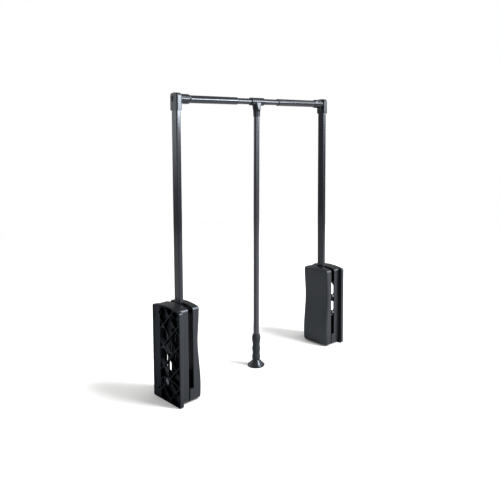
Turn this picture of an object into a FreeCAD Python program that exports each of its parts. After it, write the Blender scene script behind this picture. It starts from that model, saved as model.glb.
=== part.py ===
"""Pull-down closet rod: two spring housings, two swinging arms, a telescopic rail and a handle.

Frame: +Z up, X along the rail, the user stands on the -Y side.  The origin is on the floor plane,
midway between the housings, under the pivot axis.  Millimetres.

Each housing is one pair of mouldings, made for the left wall.  The right housing is the same pair
turned half a turn about Z, while the swinging mechanism is mirrored, so that both struts stand
behind their arms.  Inside a housing, u is the distance from the wall face towards the middle.
"""
import FreeCAD, Part
import math
import os

Vector = FreeCAD.Vector

# ---------------------------------------------------------------- driving dimensions
# Overall
WIDTH = 718.0            # wall face to wall face, as the rail is set
RAIL_Z = 845.0           # height of the rail's axis
PIVOT_Z = 58.0           # height of the arms' pivot axis

# Arm: a flat tube with rounded corners
ARM_DEPTH = 26.0         # along Y
ARM_THICK = 14.0         # along X
ARM_CORNER = 3.5
ARM_WALL = 1.2

# Housing mouldings
BASE_DEPTH = 38.5        # wall face to the slot
SLOT_GAP = 1.0           # free space on each side of the arm
WALL = 3.0
BODY_HALF = 53.0         # half the depth of the box, along Y
BODY_BOTTOM = 3.0
BODY_CORNER = 9.0
FLANGE_THICK = 12.0
FLANGE_MARGIN = 11.0     # flange beyond the box, front and back
FLANGE_CORNER = 5.0
FLANGE_EDGE = 1.5
TOP_Z = 274.5            # crown of the arched top
ARCH_RISE = 8.5          # crown above the flange's corners
RIM = 3.0
SLOT_EDGE = 1.2          # rounding of both mouldings along the slot

# Cover's waved face: depth beyond the slot at four heights
COVER_TOP = 24.5
COVER_WAIST = 19.5
COVER_BULGE = 28.0
COVER_FOOT = 25.5
COVER_SHOULDER_Z = 250.0
COVER_WAIST_Z = 172.0
COVER_BULGE_Z = 58.0
COVER_EDGE = 7.0

# Lattice in the wall side of the base
LATTICE_PITCH = 58.8
LATTICE_RIB = 2.8
LATTICE_RECESS = 0.5
LATTICE_RISE_Z = 144.5   # height where a rising rib crosses the pivot plane
LATTICE_FALL_Z = 114.0   # height where a falling rib crosses the pivot plane
WEB_THICK = 3.0
WINDOW_LOW = 90.0
WINDOW_HIGH = 215.0
STRIP_START = 28.0       # smooth strip from here to the flange's edge
STRIP_RECESS = 1.5
BEAD_WIDTH = 9.0

# Tabs that close the foot of the slot
TAB_TOP = 40.0
TAB_GAP = 3.0
TAB_LIP = 9.0
LEDGE_GAP = 0.5

# Wall screws
WALL_SCREW_SPACING = 200.0
WALL_SCREW_LOW = 35.0
WALL_SCREW_HOLE = 4.6
WALL_SCREW_BOSS = 8.5

# Cover screws
SCREW_D = 4.0
SCREW_HOLE = 4.3
SCREW_HEAD_D = 7.5
SCREW_HEAD_H = 2.8
SCREW_HEAD_ROUND = 0.9
SCREW_SEAT = 10.0        # depth of the recessed seat from the wall face
SCREW_SEAT_D = 8.6
SCREW_POST_D = 9.0
COVER_BOSS_D = 10.0
SCREW_BITE = 9.0
LOW_SCREW_Y = 37.0
LOW_SCREW_Z = 30.0
HIGH_SCREW_Y = 29.0
HIGH_SCREW_Z = 250.0

# Pivot
PIVOT_D = 9.0
PIVOT_HEAD_D = 20.0
PIVOT_HEAD_H = 3.0
PIVOT_HEAD_RECESS = 3.0
PIVOT_HEAD_ROUND = 0.75
PIVOT_BOSS_D = 24.0
PIVOT_SLEEVE_D = 13.0
PIVOT_SLEEVE_GAP = 0.5   # from the sleeve's end to the crank
PIVOT_SPIGOT = 14.0      # length of the pin inside the cover
BUSH_WALL = 1.5
RUN_CLEAR = 0.05         # radial clearance of every running fit
ARCH_RIB_DROP = 13.0

# Arm foot and crank
FOOT_TOP = 72.0
PLUG_LENGTH = 38.0
PLUG_CLEAR = 0.1
CRANK_THICK = 5.0
CRANK_GAP = 3.5          # between the crank and the arm
CRANK_RADIUS = 24.0
CRANK_END_R = 6.5
CRANK_PIN_D = 7.0
CRANK_PIN_REACH = 1.0    # pin beyond the yoke's wall side
CRANK_PIN_CHAMFER = 0.8
LIFT_TRAVEL = 95.0       # degrees from upright to pulled down

# Gas strut
STRUT_D = 15.0
STRUT_BOTTOM = 128.0
STRUT_TOP = 212.0
STRUT_NECK_D = 8.0
STRUT_ROUND = 1.5
ROD_D = 6.0
ROD_GRIP = 25.0          # rod inside the cylinder with the arm upright
BORE_SPARE = 7.0
EYE_Z = 225.0
EYE_D = 12.0
EYE_THICK = 8.0
EYE_PIN_D = 5.0
EYE_PIN_HEAD_D = 8.0
EYE_PIN_HEAD_H = 1.6
EYE_SIDE_GAP = 0.2
CRADLE_Z = 149.0
CRADLE_THICK = 3.0
YOKE_THICK = 10.0
YOKE_PLAY_Z = 1.3
YOKE_PLAY_Y = 0.8
YOKE_WALL_Z = 4.0
YOKE_WALL_Y = 3.5
YOKE_NECK_D = 10.0
YOKE_NECK_H = 8.0
YOKE_SOCKET = 6.0
BUFFER_D = 7.0
BUFFER_H = 9.5
BUFFER_ROUND = 1.75
BUFFER_GAP = 0.3
PEDESTAL = 8.0

# Elbow
ELBOW_DEPTH = 34.0
ELBOW_THICK = 17.0
ELBOW_CORNER = 3.5
ELBOW_RISE = 17.0        # top of the elbow above the rail's axis
ELBOW_CROWN = 3.0        # crown of its top above the corners
ELBOW_SHOULDER_R = 8.5
SLEEVE_LENGTH = 32.0     # from the rail's axis down to the sleeve's mouth
ARM_STOP_DROP = 13.0     # the arm ends this far under the rail's axis
COLLAR_D = 28.0
COLLAR_END_D = 24.0
COLLAR_LENGTH = 37.0
COLLAR_TAPER = 7.0
GUSSET_R = 11.0
TONGUE_WIDTH = 16.0
TONGUE_THICK = 1.5
TONGUE_DROP = 22.0       # centre of its round end under the rail's axis
CAP_D = 17.0
CAP_THICK = 2.0
CAP_RECESS = 1.5
CAP_DISH_D = 10.0
CAP_DISH = 0.7
ELBOW_FLOOR = 2.0
ELBOW_SCREW_DROP = 22.0
ELBOW_SCREW_HEAD_D = 7.0
ELBOW_SCREW_HEAD_H = 2.4
ELBOW_SCREW_SINK = 1.2   # depth of the screw's seat in the back of the sleeve
ELBOW_SCREW_BITE = 3.0

# Rail
RAIL_D = 22.0
RAIL_WALL = 1.0
RAIL_INNER_X = 92.0      # inner end of each outer tube
CENTRE_D = 18.0
CENTRE_WALL = 1.0
CENTRE_HALF = 200.0
RING_LENGTH = 4.0
RING_ROUND = 1.0
BUSH_LENGTH = 22.0

# Tee and handle
TEE_X = -4.0             # place along the rail
TEE_HALF = 27.3
TEE_D = 24.0
TEE_ROUND = 1.0
STEM_DROP = 46.0
STEM_TOP_D = 23.6
STEM_END_D = 20.8
STEM_FLARE_D = 29.5
STEM_FLARE = 22.0
FLARE_SINK = 1.3         # the flare starts this far inside the stem
FLARE_FLAT = 0.4         # and this far inside the sleeve, front and back
HANDLE_D = 18.0
HANDLE_WALL = 1.0
HANDLE_SEAT = 20.0       # tube's top end below the rail's axis
HANDLE_LEAN = 0.5        # degrees that the handle swings back at rest

# Grip
GRIP_BOTTOM = 1.0
GRIP_TOP = 104.5
GRIP_TOP_D = 23.0
GRIP_TOP_ROUND = 2.0
GRIP_TUBE_END = 16.0
GRIP_BULGE_D = 26.2
GRIP_NECK_D = 23.2
GRIP_BULGES_Z = (31.5, 55.5, 82.0)
GRIP_NECKS_Z = (21.0, 42.3, 68.8)
SKIRT_D = 54.5
SKIRT_WAIST_D = 37.6
SKIRT_WAIST_RISE = 8.2   # waist of the skirt's curve above its rim
SKIRT_SOLE_D = 44.0
SKIRT_EDGE = 1.0
SKIRT_RIM = 3.0
SKIRT_DISH = 2.0

# ---------------------------------------------------------------- worked-out places
HALF_WIDTH = WIDTH / 2
SLOT_WIDTH = ARM_THICK + 2 * SLOT_GAP
COVER_U = BASE_DEPTH + SLOT_WIDTH
ARM_U = BASE_DEPTH + SLOT_WIDTH / 2
ARM_U0 = ARM_U - ARM_THICK / 2
ARM_U1 = ARM_U + ARM_THICK / 2
FLANGE_HALF = BODY_HALF + FLANGE_MARGIN
ARCH_R = (FLANGE_HALF ** 2 + ARCH_RISE ** 2) / (2 * ARCH_RISE)
WEB_U = FLANGE_THICK - WEB_THICK
CRANK_U1 = ARM_U0 - CRANK_GAP
CRANK_U0 = CRANK_U1 - CRANK_THICK
PIVOT_BOSS_U = FLANGE_THICK + PIVOT_HEAD_H
STRUT_U = (PIVOT_BOSS_U + CRANK_U0) / 2
HALF_TRAVEL = math.radians(LIFT_TRAVEL / 2)
CRANK_Y = CRANK_RADIUS * math.cos(HALF_TRAVEL)
CRANK_DROP = CRANK_RADIUS * math.sin(HALF_TRAVEL)
CRANK_Z = PIVOT_Z - CRANK_DROP
STROKE = 2 * CRANK_DROP
YOKE_U0 = STRUT_U - YOKE_THICK / 2
YOKE_U1 = STRUT_U + YOKE_THICK / 2
STRUT_Y = (CRANK_Y + CRANK_RADIUS) / 2
YOKE_SLOT_Z = CRANK_PIN_D + 2 * YOKE_PLAY_Z
YOKE_SLOT_Y = CRANK_RADIUS - CRANK_Y + CRANK_PIN_D + 2 * YOKE_PLAY_Y
YOKE_HALF_Z = YOKE_SLOT_Z / 2 + YOKE_WALL_Z
YOKE_HALF_Y = YOKE_SLOT_Y / 2 + YOKE_WALL_Y
YOKE_TOP = CRANK_Z + YOKE_HALF_Z
ROD_FOOT = YOKE_TOP + YOKE_NECK_H - YOKE_SOCKET
ROD_TOP = STRUT_BOTTOM + ROD_GRIP
BUFFER_TOP = CRANK_Z - CRANK_END_R - BUFFER_GAP
PEDESTAL_TOP = BUFFER_TOP - BUFFER_H
CRANK_MID_U = (CRANK_U0 + CRANK_U1) / 2
FLOOR_Z = BODY_BOTTOM + WALL
ARM_TOP = RAIL_Z - ARM_STOP_DROP
RAIL_INSET = ARM_U + ELBOW_THICK / 2 - ELBOW_FLOOR - CAP_THICK - CAP_RECESS
COLLAR_U1 = ARM_U + ELBOW_THICK / 2 + COLLAR_LENGTH


# ---------------------------------------------------------------- solids
def box(x0, x1, y0, y1, z0, z1):
    """Box between two corners."""
    return Part.makeBox(x1 - x0, y1 - y0, z1 - z0, Vector(x0, y0, z0))


def rod_x(x0, x1, y, z, diameter):
    """Round bar along X."""
    return Part.makeCylinder(diameter / 2, x1 - x0, Vector(x0, y, z), Vector(1, 0, 0))


def rod_y(y0, y1, x, z, diameter):
    """Round bar along Y."""
    return Part.makeCylinder(diameter / 2, y1 - y0, Vector(x, y0, z), Vector(0, 1, 0))


def rod_z(z0, z1, x, y, diameter):
    """Round bar along Z."""
    return Part.makeCylinder(diameter / 2, z1 - z0, Vector(x, y, z0), Vector(0, 0, 1))


def cone_x(x0, x1, y, z, d0, d1):
    """Cone along X, d0 across at x0 and d1 across at x1."""
    return Part.makeCone(d0 / 2, d1 / 2, x1 - x0, Vector(x0, y, z), Vector(1, 0, 0))


def join(shapes):
    """One solid from shapes that overlap."""
    body = shapes[0]
    if len(shapes) > 1:
        body = body.multiFuse(shapes[1:])
    return body.removeSplitter()


def edges_along(shape, axis):
    """Straight edges of a shape that run along an axis."""
    found = []
    for edge in shape.Edges:
        span = edge.Vertexes[-1].Point - edge.Vertexes[0].Point
        if span.Length > 1e-6 and abs(abs(span.normalize().dot(axis)) - 1) < 1e-6:
            found.append(edge)
    return found


def edges_at_u(shape, u):
    """Edges that lie in the plane X = u."""
    return [e for e in shape.Edges if abs(e.BoundBox.XMin - u) < 1e-4 and abs(e.BoundBox.XMax - u) < 1e-4]


def flat_section(depth, thick, corner, u, z0, z1):
    """Upright bar with the arm's kind of section: a rectangle with rounded corners."""
    bar = box(u - thick / 2, u + thick / 2, -depth / 2, depth / 2, z0, z1)
    return bar.makeFillet(corner, edges_along(bar, Vector(0, 0, 1)))


# ---------------------------------------------------------------- housing mouldings
def arched_block(u0, u1, half, bottom, corner, inset=0.0):
    """Slab with the housing's outline, seen along X, drawn in by inset on every side."""
    slab = box(u0, u1, -half + inset, half - inset, bottom + inset, TOP_Z)
    barrel = rod_x(u0, u1, 0, TOP_Z - ARCH_R, 2 * (ARCH_R - inset))
    slab = slab.common(barrel)
    return slab.makeFillet(max(corner - inset, 1.0), edges_along(slab, Vector(1, 0, 0)))


def lattice_ribs():
    """Crossing 45 degree ribs over the wall side, between the smooth strip and the front rim."""
    u0 = LATTICE_RECESS
    reach = TOP_Z + FLANGE_HALF
    ribs = []
    for start, turn in ((LATTICE_RISE_Z, 45), (LATTICE_FALL_Z, -45)):
        first = math.floor((-FLANGE_HALF - start) / LATTICE_PITCH)
        last = math.ceil((reach - start) / LATTICE_PITCH)
        for step in range(first, last + 1):
            z = start + step * LATTICE_PITCH
            rib = box(u0, FLANGE_THICK, -reach, reach, -LATTICE_RIB / 2, LATTICE_RIB / 2)
            rib.rotate(Vector(0, 0, 0), Vector(1, 0, 0), turn)
            rib.translate(Vector(0, 0, z))
            ribs.append(rib)
    field = arched_block(u0, FLANGE_THICK, FLANGE_HALF, 0, FLANGE_CORNER, RIM)
    field = field.cut(box(u0, FLANGE_THICK, STRIP_START, FLANGE_HALF, 0, TOP_Z))
    return [rib.common(field) for rib in ribs if rib.common(field).Volume > 1]


def wall_screw_places():
    """Centres of the four wall screws in the flange."""
    y = BODY_HALF + FLANGE_MARGIN / 2
    z_high = WALL_SCREW_LOW + WALL_SCREW_SPACING
    return [(side * y, z) for side in (-1, 1) for z in (WALL_SCREW_LOW, z_high)]


def cover_screw_places():
    """Centres of the four screw seats: two at the foot, two under the crown."""
    low = [(-LOW_SCREW_Y, LOW_SCREW_Z), (LOW_SCREW_Y, LOW_SCREW_Z)]
    return low + [(-HIGH_SCREW_Y, HIGH_SCREW_Z), (HIGH_SCREW_Y, HIGH_SCREW_Z)]


def flange():
    """Wall flange: rim, web with its window, smooth strip and bead, open towards the wall."""
    plate = arched_block(0, FLANGE_THICK, FLANGE_HALF, 0, FLANGE_CORNER)
    rounded = edges_at_u(plate, 0) + edges_at_u(plate, FLANGE_THICK)
    plate = plate.makeFillet(FLANGE_EDGE, rounded)
    pocket = arched_block(-1, WEB_U, FLANGE_HALF, 0, FLANGE_CORNER, RIM)
    pocket = pocket.cut(box(-1, WEB_U, STRIP_START, FLANGE_HALF, 0, TOP_Z))
    window = box(WEB_U - 1, FLANGE_THICK + 1, -BODY_HALF + WALL, STRIP_START, WINDOW_LOW, WINDOW_HIGH)
    strip_edge = arched_block(-1, STRIP_RECESS, FLANGE_HALF, 0, FLANGE_CORNER, RIM)
    strip_edge = strip_edge.cut(box(-1, STRIP_RECESS, -FLANGE_HALF, STRIP_START + BEAD_WIDTH, 0, TOP_Z))
    channel = box(STRIP_RECESS + WALL, FLANGE_THICK + 1, STRIP_START + WALL, BODY_HALF - WALL,
                  LOW_SCREW_Z + SCREW_SEAT, HIGH_SCREW_Z - SCREW_SEAT)
    return plate.cut(Part.makeCompound([pocket, window, strip_edge, channel]))


def box_walls(u0, u1):
    """Side walls, floor and arched roof of the housing box, with its outer edge rounded at u1."""
    outer = arched_block(u0, u1, BODY_HALF, BODY_BOTTOM, BODY_CORNER)
    outer = outer.makeFillet(SLOT_EDGE, edges_at_u(outer, u1))
    inner = arched_block(u0 - 1, u1 + 1, BODY_HALF, BODY_BOTTOM, BODY_CORNER, WALL)
    return outer.cut(inner)


def arch_ribs():
    """Two curved ribs that spread from the pivot boss to the front rim and to the strip."""
    ribs = []
    for side, reach in ((-1, FLANGE_HALF - RIM), (1, STRIP_START)):
        radius = (reach ** 2 + ARCH_RIB_DROP ** 2) / (2 * ARCH_RIB_DROP)
        centre_z = PIVOT_Z + ARCH_RIB_DROP - radius
        ring = rod_x(LATTICE_RECESS, FLANGE_THICK, 0, centre_z, 2 * radius)
        ring = ring.cut(rod_x(LATTICE_RECESS, FLANGE_THICK, 0, centre_z, 2 * (radius - LATTICE_RIB)))
        low, high = sorted((0, side * reach))
        ribs.append(ring.common(box(0, FLANGE_THICK, low, high, PIVOT_Z - ARCH_RIB_DROP, TOP_Z)))
    return ribs


def base_bosses():
    """Screw posts, pivot boss, strut bosses and buffer pedestals, alike at front and back."""
    parts = [rod_x(LATTICE_RECESS, PIVOT_BOSS_U, 0, PIVOT_Z, PIVOT_BOSS_D),
             rod_x(FLANGE_THICK, CRANK_U0 - PIVOT_SLEEVE_GAP, 0, PIVOT_Z, PIVOT_SLEEVE_D)]
    for y, z in cover_screw_places():
        end = COVER_U if z < PIVOT_Z else BASE_DEPTH
        parts.append(rod_x(LATTICE_RECESS, FLANGE_THICK, y, z, SCREW_SEAT_D + WALL))
        parts.append(rod_x(SCREW_SEAT, end, y, z, SCREW_POST_D))
    for y, z in wall_screw_places():
        parts.append(rod_x(0, FLANGE_THICK, y, z, WALL_SCREW_BOSS))
    for side in (-1, 1):
        y = side * STRUT_Y
        parts.append(rod_x(WEB_U, STRUT_U - EYE_THICK / 2 - EYE_SIDE_GAP, y, EYE_Z, EYE_D))
        low, high = sorted((side * (BODY_HALF - WALL / 2), side * (STRUT_Y - STRUT_D / 4)))
        parts.append(box(WEB_U, STRUT_U + STRUT_D / 4, low, high, CRADLE_Z, CRADLE_Z + CRADLE_THICK))
        y = side * CRANK_Y
        half = PEDESTAL / 2
        parts.append(box(CRANK_MID_U - half, CRANK_MID_U + half, y - half, y + half,
                         BODY_BOTTOM, PEDESTAL_TOP))
    return parts


def base_holes():
    """Everything that is drilled or relieved in the base."""
    holes = [rod_x(-1, COVER_U + 1, 0, PIVOT_Z, PIVOT_D),
             rod_x(-1, PIVOT_HEAD_RECESS + PIVOT_HEAD_H, 0, PIVOT_Z, PIVOT_HEAD_D)]
    for y, z in cover_screw_places():
        holes.append(rod_x(-1, COVER_U + 1, y, z, SCREW_HOLE))
        holes.append(rod_x(-1, SCREW_SEAT, y, z, SCREW_SEAT_D))
    for y, z in wall_screw_places():
        holes.append(rod_x(-1, FLANGE_THICK + 1, y, z, WALL_SCREW_HOLE))
    for side in (-1, 1):
        y = side * STRUT_Y
        holes.append(rod_x(WEB_U + 1, COVER_U, y, EYE_Z, EYE_PIN_D))
        holes.append(rod_z(CRADLE_Z - 1, CRADLE_Z + CRADLE_THICK + 1, STRUT_U, y, STRUT_D + 2 * RUN_CLEAR))
    return holes


def foot_tab(u0, u1, y0, y1):
    """Corner of the box that bridges the foot of the slot, closed on top by a lip."""
    corner = box_walls(u0, u1).common(box(u0, u1, y0, y1, BODY_BOTTOM, TAB_TOP))
    lip = box(u0, u1, y0, y1, TAB_TOP - WALL, TAB_TOP)
    return join([corner, lip])


def base_shell():
    """The moulding that is screwed to the wall, for the left side."""
    ledge = box(BASE_DEPTH - WALL, COVER_U - LEDGE_GAP, -BODY_HALF + TAB_LIP, BODY_HALF - TAB_LIP,
                BODY_BOTTOM, FLOOR_Z)
    tab = foot_tab(BASE_DEPTH - WALL, COVER_U - TAB_GAP, BODY_HALF - TAB_LIP, BODY_HALF)
    solids = [flange(), box_walls(WEB_U + 1, BASE_DEPTH), ledge, tab]
    solids += lattice_ribs() + arch_ribs() + base_bosses()
    return join(solids).cut(Part.makeCompound(base_holes()))


def wave_curve(inset):
    """Line of the cover's waved face in the XZ plane, from the floor to above the crown."""
    points = [(COVER_FOOT, BODY_BOTTOM - WALL), (COVER_BULGE, COVER_BULGE_Z), (COVER_WAIST, COVER_WAIST_Z),
              (COVER_TOP, COVER_SHOULDER_Z), (COVER_TOP, TOP_Z + WALL)]
    curve = Part.BSplineCurve()
    curve.interpolate([Vector(COVER_U + depth - inset, 0, z) for depth, z in points])
    return curve


def wave_prism(u0, half, inset):
    """Prism along Y between the plane X = u0 and the waved face, drawn in by inset."""
    curve = wave_curve(inset)
    foot, crown = curve.StartPoint, curve.EndPoint
    back_low = Vector(u0, 0, foot.z)
    back_high = Vector(u0, 0, crown.z)
    wire = Part.Wire([curve.toShape(), Part.makeLine(crown, back_high), Part.makeLine(back_high, back_low),
                      Part.makeLine(back_low, foot)])
    prism = Part.Face(wire).extrude(Vector(0, 2 * half, 0))
    prism.translate(Vector(0, -half, 0))
    return prism


def waved_edges(shape):
    """Edges round the waved face, which is the only face with a spline surface."""
    for face in shape.Faces:
        if not isinstance(face.Surface, (Part.Plane, Part.Cylinder)):
            return face.Edges
    return []


def cover():
    """The waved cover moulding, for the left side."""
    reach = COVER_U + COVER_BULGE + WALL
    outer = arched_block(COVER_U, reach, BODY_HALF, BODY_BOTTOM, BODY_CORNER)
    outer = outer.common(wave_prism(COVER_U - 1, BODY_HALF + 1, 0))
    outer = outer.makeFillet(COVER_EDGE, waved_edges(outer))
    outer = outer.makeFillet(SLOT_EDGE, edges_at_u(outer, COVER_U))
    inner = arched_block(COVER_U - 1, reach, BODY_HALF, BODY_BOTTOM, BODY_CORNER, WALL)
    inner = inner.common(wave_prism(COVER_U - 2, BODY_HALF, WALL))
    hollow = outer.cut(inner)
    posts = [rod_x(COVER_U, reach, 0, PIVOT_Z, PIVOT_HEAD_D)]
    posts += [rod_x(COVER_U, reach, y, z, COVER_BOSS_D) for y, z in cover_screw_places()]
    posts = [post.common(outer) for post in posts]
    tab = foot_tab(BASE_DEPTH + TAB_GAP, COVER_U + WALL, -BODY_HALF, -BODY_HALF + TAB_LIP - LEDGE_GAP)
    body = join([hollow, tab] + posts)
    drilled = [rod_x(COVER_U - 1, COVER_U + PIVOT_SPIGOT, 0, PIVOT_Z, PIVOT_D)]
    drilled += [rod_x(COVER_U - 1, COVER_U + SCREW_BITE + 1, y, z, SCREW_D) for y, z in cover_screw_places()]
    return body.cut(Part.makeCompound(drilled))


def cover_screws():
    """Two foot screws and the long screw at the back, with their heads in the recessed seats."""
    screws = []
    for y, z in cover_screw_places():
        if z < PIVOT_Z or y > 0:
            shank = rod_x(SCREW_SEAT - SCREW_HEAD_H, COVER_U + SCREW_BITE, y, z, SCREW_D)
            head = rod_x(SCREW_SEAT - SCREW_HEAD_H, SCREW_SEAT, y, z, SCREW_HEAD_D)
            head = head.makeFillet(SCREW_HEAD_ROUND, edges_at_u(head, SCREW_SEAT - SCREW_HEAD_H))
            screws.append(join([head, shank]))
    return Part.makeCompound(screws)


def cover_spacer():
    """Tube round the long screw that carries the cover across the slot, behind the arm."""
    tube = rod_x(BASE_DEPTH, COVER_U, HIGH_SCREW_Y, HIGH_SCREW_Z, SCREW_POST_D)
    return tube.cut(rod_x(BASE_DEPTH, COVER_U, HIGH_SCREW_Y, HIGH_SCREW_Z, SCREW_HOLE))


def pivot_pin():
    """Headed steel pin through the base, the arm foot and the cover's boss."""
    head_face = PIVOT_HEAD_RECESS
    head = rod_x(head_face, head_face + PIVOT_HEAD_H, 0, PIVOT_Z, PIVOT_HEAD_D - 4 * RUN_CLEAR)
    head = head.makeFillet(PIVOT_HEAD_ROUND, edges_at_u(head, head_face))
    return join([head, rod_x(head_face, COVER_U + PIVOT_SPIGOT, 0, PIVOT_Z, PIVOT_D)])


# ---------------------------------------------------------------- swinging mechanism
def link_plate(y0, z0, r0, y1, z1, r1, u0, u1):
    """Flat lever between two round ends, with straight tangent sides."""
    span = math.hypot(y1 - y0, z1 - z0)
    heading = math.atan2(z1 - z0, y1 - y0)
    lean = math.acos((r0 - r1) / span)
    corners = []
    for y, z, r, turn in ((y0, z0, r0, lean), (y1, z1, r1, lean), (y1, z1, r1, -lean), (y0, z0, r0, -lean)):
        angle = heading + turn
        corners.append(Vector(u0, y + r * math.cos(angle), z + r * math.sin(angle)))
    web = Part.Face(Part.makePolygon(corners + corners[:1])).extrude(Vector(u1 - u0, 0, 0))
    return join([web, rod_x(u0, u1, y0, z0, 2 * r0), rod_x(u0, u1, y1, z1, 2 * r1)])


def arm_foot():
    """Cast foot: hub on the pivot, plug inside the arm tube and crank towards the strut."""
    hub = rod_x(CRANK_U0, ARM_U1, 0, PIVOT_Z, ARM_DEPTH)
    neck = flat_section(ARM_DEPTH, ARM_THICK, ARM_CORNER, ARM_U, PIVOT_Z, FOOT_TOP)
    plug_shrink = 2 * (ARM_WALL + PLUG_CLEAR)
    plug = flat_section(ARM_DEPTH - plug_shrink, ARM_THICK - plug_shrink, ARM_CORNER - ARM_WALL, ARM_U,
                        FOOT_TOP, FOOT_TOP + PLUG_LENGTH)
    crank = link_plate(0, PIVOT_Z, ARM_DEPTH / 2, CRANK_Y, CRANK_Z, CRANK_END_R, CRANK_U0, CRANK_U1)
    foot = join([hub, neck, plug, crank])
    bush_hole = rod_x(CRANK_U0, ARM_U1, 0, PIVOT_Z, PIVOT_D + 2 * (RUN_CLEAR + BUSH_WALL))
    pin_hole = rod_x(CRANK_U0, CRANK_U1, CRANK_Y, CRANK_Z, CRANK_PIN_D)
    return foot.cut(Part.makeCompound([bush_hole, pin_hole]))


def pivot_bush():
    """Plain bush pressed in the foot, running on the pivot pin."""
    bore = PIVOT_D + 2 * RUN_CLEAR
    bush = rod_x(CRANK_U0, ARM_U1, 0, PIVOT_Z, bore + 2 * BUSH_WALL)
    return bush.cut(rod_x(CRANK_U0, ARM_U1, 0, PIVOT_Z, bore))


def crank_pin():
    """Pin of the crank, which works in the yoke's slot."""
    tip = YOKE_U0 - CRANK_PIN_REACH
    pin = rod_x(tip, CRANK_U1, CRANK_Y, CRANK_Z, CRANK_PIN_D)
    return pin.makeChamfer(CRANK_PIN_CHAMFER, edges_at_u(pin, tip))


def arm_tube():
    """Flat tube of the arm, from the foot to the elbow."""
    outer = flat_section(ARM_DEPTH, ARM_THICK, ARM_CORNER, ARM_U, FOOT_TOP, ARM_TOP)
    inner = flat_section(ARM_DEPTH - 2 * ARM_WALL, ARM_THICK - 2 * ARM_WALL, ARM_CORNER - ARM_WALL, ARM_U,
                         FOOT_TOP - 1, ARM_TOP + 1)
    return outer.cut(inner)


def strut_cylinder():
    """Gas strut's cylinder with its top eye."""
    barrel = rod_z(STRUT_BOTTOM, STRUT_TOP, STRUT_U, STRUT_Y, STRUT_D)
    ends = [e for e in barrel.Edges if e.Curve.TypeId == "Part::GeomCircle"]
    barrel = barrel.makeFillet(STRUT_ROUND, ends)
    neck = rod_z(STRUT_TOP - 1, EYE_Z, STRUT_U, STRUT_Y, STRUT_NECK_D)
    eye = rod_x(STRUT_U - EYE_THICK / 2, STRUT_U + EYE_THICK / 2, STRUT_Y, EYE_Z, EYE_D)
    hole = rod_x(STRUT_U - EYE_THICK, STRUT_U + EYE_THICK, STRUT_Y, EYE_Z, EYE_PIN_D + 2 * RUN_CLEAR)
    bore = rod_z(STRUT_BOTTOM - 1, ROD_TOP + STROKE + BORE_SPARE, STRUT_U, STRUT_Y, ROD_D + 2 * RUN_CLEAR)
    return join([barrel, neck, eye]).cut(Part.makeCompound([hole, bore]))


def strut_anchor_pin():
    """Headed pin that hangs the strut in the base."""
    head_u = STRUT_U + EYE_THICK / 2 + EYE_SIDE_GAP
    shank = rod_x(WEB_U + 1, head_u, STRUT_Y, EYE_Z, EYE_PIN_D)
    head = rod_x(head_u, head_u + EYE_PIN_HEAD_H, STRUT_Y, EYE_Z, EYE_PIN_HEAD_D)
    return join([shank, head])


def strut_rod():
    """Piston rod of the strut."""
    return rod_z(ROD_FOOT, ROD_TOP, STRUT_U, STRUT_Y, ROD_D)


def rod_yoke():
    """Slotted block at the rod's end; the crank pin slides across it as it lifts the rod."""
    block = box(YOKE_U0, YOKE_U1, STRUT_Y - YOKE_HALF_Y, STRUT_Y + YOKE_HALF_Y,
                CRANK_Z - YOKE_HALF_Z, YOKE_TOP)
    block = block.makeFillet(YOKE_WALL_Y / 2, edges_along(block, Vector(1, 0, 0)))
    neck = rod_z(YOKE_TOP - 1, YOKE_TOP + YOKE_NECK_H, STRUT_U, STRUT_Y, YOKE_NECK_D)
    slot = box(YOKE_U0 - 1, YOKE_U1 + 1, STRUT_Y - YOKE_SLOT_Y / 2, STRUT_Y + YOKE_SLOT_Y / 2,
               CRANK_Z - YOKE_SLOT_Z / 2, CRANK_Z + YOKE_SLOT_Z / 2)
    slot = slot.makeFillet(YOKE_SLOT_Z / 2 * 0.98, edges_along(slot, Vector(1, 0, 0)))
    socket = rod_z(ROD_FOOT, YOKE_TOP + YOKE_NECK_H + 1, STRUT_U, STRUT_Y, ROD_D)
    return join([block, neck]).cut(Part.makeCompound([slot, socket]))


def stop_buffer():
    """Rubber buffer under the crank, which stops the arm upright."""
    buffer = rod_z(PEDESTAL_TOP, BUFFER_TOP, CRANK_MID_U, CRANK_Y, BUFFER_D)
    top = [e for e in buffer.Edges if e.BoundBox.ZMin > BUFFER_TOP - 1e-4]
    return buffer.makeFillet(BUFFER_ROUND, top)


# ---------------------------------------------------------------- elbow and rail
def elbow_block():
    """Sleeve and head of the elbow in one: a block with a crowned top and rounded edges."""
    u0 = ARM_U - ELBOW_THICK / 2
    u1 = ARM_U + ELBOW_THICK / 2
    side = ELBOW_DEPTH / 2
    top = RAIL_Z + ELBOW_RISE
    foot = RAIL_Z - SLEEVE_LENGTH
    crown_r = (side ** 2 + ELBOW_CROWN ** 2) / (2 * ELBOW_CROWN)
    block = box(u0, u1, -side, side, foot, top)
    block = block.common(rod_x(u0, u1, 0, top - crown_r, 2 * crown_r))
    shoulders = [e for e in edges_along(block, Vector(1, 0, 0)) if e.BoundBox.ZMin > RAIL_Z]
    block = block.makeFillet(ELBOW_SHOULDER_R, shoulders)
    rims = edges_at_u(block, u0) + edges_at_u(block, u1)
    return block.makeFillet(ELBOW_CORNER, [e for e in rims if e.BoundBox.ZMax > foot + 1])


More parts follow.
